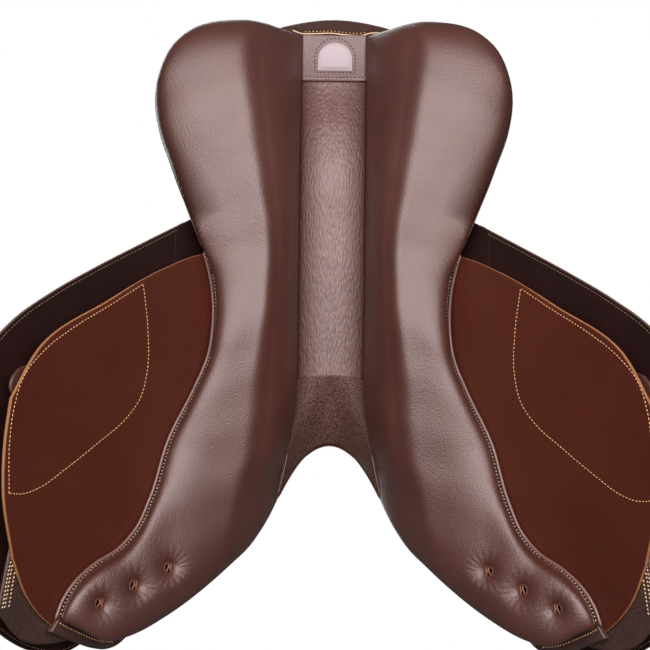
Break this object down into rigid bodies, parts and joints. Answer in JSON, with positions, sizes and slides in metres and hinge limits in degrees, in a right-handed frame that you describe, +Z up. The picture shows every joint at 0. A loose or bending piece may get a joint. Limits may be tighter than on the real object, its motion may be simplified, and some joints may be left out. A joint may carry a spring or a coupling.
{
  "type": "jumping saddle",
  "caption": "Forward-cut leather jumping saddle with flocked panels, sweat flaps, lifting outer flaps and skirts, stirrup bars with catches, girth straps and a deep gullet.",
  "frame": {"origin": "the gullet's centre, on the plane that the two panels bear on", "axes": "+X to the rider's left, +Y towards the cantle at the rear, +Z up"},
  "size_m": [0.6482, 0.6224, 0.3477],
  "materials": {
    "badge_plate": "plain white, satin, no lettering",
    "block_leather": "soft grain over foam",
    "dark_flap_leather": "smooth, very dark, satin",
    "flap_leather": "smooth, polished reddish brown",
    "foam": "open cell, cream",
    "hook_and_loop": "looped pile",
    "lining_leather": "grained, paler, matt",
    "moulded_tree": "black moulded, satin",
    "panel_leather": "grained, flocked, soft sheen",
    "seat_leather": "soft grain, dark brown",
    "steel": "brushed, satin",
    "strap_leather": "plain bridle leather, waxed",
    "webbing": "woven, cream"
  },
  "bodies": {
    "saddle": {"badge_plate": "badge_plate", "cantle_back": "seat_leather", "catch_pin_left": "steel", "catch_pin_right": "steel", "dee_chape_left": "strap_leather", "dee_chape_right": "strap_leather", "flap_root_left": "dark_flap_leather", "flap_root_right": "dark_flap_leather", "front_facing_left": "panel_leather", "front_facing_right": "panel_leather", "girth_web_front": "webbing", "girth_web_rear": "webbing", "gullet_arch": "steel", "gullet_lining": "lining_leather", "gullet_tab": "lining_leather", "head_lining": "lining_leather", "knee_block_left": "block_leather", "knee_block_right": "block_leather", "loop_patch_left": "hook_and_loop", "loop_patch_right": "hook_and_loop", "panel_left": "panel_leather", "panel_right": "panel_leather", "pommel_facing": "seat_leather", "rail_spring_left": "steel", "rail_spring_right": "steel", "saddle_nail_front_left": "steel", "saddle_nail_front_right": "steel", "saddle_nail_rear_left": "steel", "saddle_nail_rear_right": "steel", "seat_cover": "seat_leather", "seat_foam": "foam", "seat_webbing": "webbing", "stirrup_bar_left": "steel", "stirrup_bar_right": "steel", "sweat_flap_left": "flap_leather", "sweat_flap_right": "flap_leather", "thigh_block_left": "block_leather", "thigh_block_right": "block_leather", "tree": "moulded_tree"},
    "outer_flap_left": {"flap_left": "dark_flap_leather", "knee_pad_left": "block_leather", "leather_keeper_left": "strap_leather"},
    "skirt_flap_left": {"skirt_left": "seat_leather"},
    "thumb_catch_left": {"bar_catch_left": "steel"},
    "girth_straps_left": {"girth_strap_front_left": "strap_leather", "girth_strap_middle_left": "strap_leather", "girth_strap_rear_left": "strap_leather", "buckle_guard_left": "strap_leather"},
    "dee_left": {"dee_ring_left": "steel"},
    "outer_flap_right": {"flap_right": "dark_flap_leather", "knee_pad_right": "block_leather", "leather_keeper_right": "strap_leather"},
    "skirt_flap_right": {"skirt_right": "seat_leather"},
    "thumb_catch_right": {"bar_catch_right": "steel"},
    "girth_straps_right": {"girth_strap_front_right": "strap_leather", "girth_strap_middle_right": "strap_leather", "girth_strap_rear_right": "strap_leather", "buckle_guard_right": "strap_leather"},
    "dee_right": {"dee_ring_right": "steel"}
  },
  "joints": [
    {"name": "flap_lift_left", "type": "hinge", "parent": "saddle", "child": "outer_flap_left", "pos_m": [0.14828, 0, 0.01841], "axis": [0, -1, 0], "range_deg": [0, 100]},
    {"name": "skirt_lift_left", "type": "hinge", "parent": "saddle", "child": "skirt_flap_left", "pos_m": [0.0918, 0, 0.08], "axis": [0, -1, 0], "range_deg": [0, 34]},
    {"name": "catch_turn_left", "type": "hinge", "parent": "saddle", "child": "thumb_catch_left", "pos_m": [0.11436, -0.03, 0.05781], "axis": [0.8124, 0, -0.5831], "range_deg": [0, 30]},
    {"name": "girth_strap_swing_left", "type": "hinge", "parent": "saddle", "child": "girth_straps_left", "pos_m": [0.11058, -0.028, 0.04181], "axis": [0.7349, 0, 0.6782], "range_deg": [-1, 3]},
    {"name": "dee_swing_left", "type": "hinge", "parent": "saddle", "child": "dee_left", "pos_m": [0.06, -0.1449, 0.08], "axis": [-1, 0, 0], "range_deg": [-4, 80]},
    {"name": "flap_lift_right", "type": "hinge", "parent": "saddle", "child": "outer_flap_right", "pos_m": [-0.14828, 0, 0.01841], "axis": [0, 1, 0], "range_deg": [0, 100]},
    {"name": "skirt_lift_right", "type": "hinge", "parent": "saddle", "child": "skirt_flap_right", "pos_m": [-0.0918, 0, 0.08], "axis": [0, 1, 0], "range_deg": [0, 34]},
    {"name": "catch_turn_right", "type": "hinge", "parent": "saddle", "child": "thumb_catch_right", "pos_m": [-0.11436, -0.03, 0.05781], "axis": [0.8124, 0, 0.5831], "range_deg": [0, 30]},
    {"name": "girth_strap_swing_right", "type": "hinge", "parent": "saddle", "child": "girth_straps_right", "pos_m": [-0.11058, -0.028, 0.04181], "axis": [0.7349, 0, -0.6782], "range_deg": [-1, 3]},
    {"name": "dee_swing_right", "type": "hinge", "parent": "saddle", "child": "dee_right", "pos_m": [-0.06, -0.1449, 0.08], "axis": [-1, 0, 0], "range_deg": [-4, 80]}
  ]
}
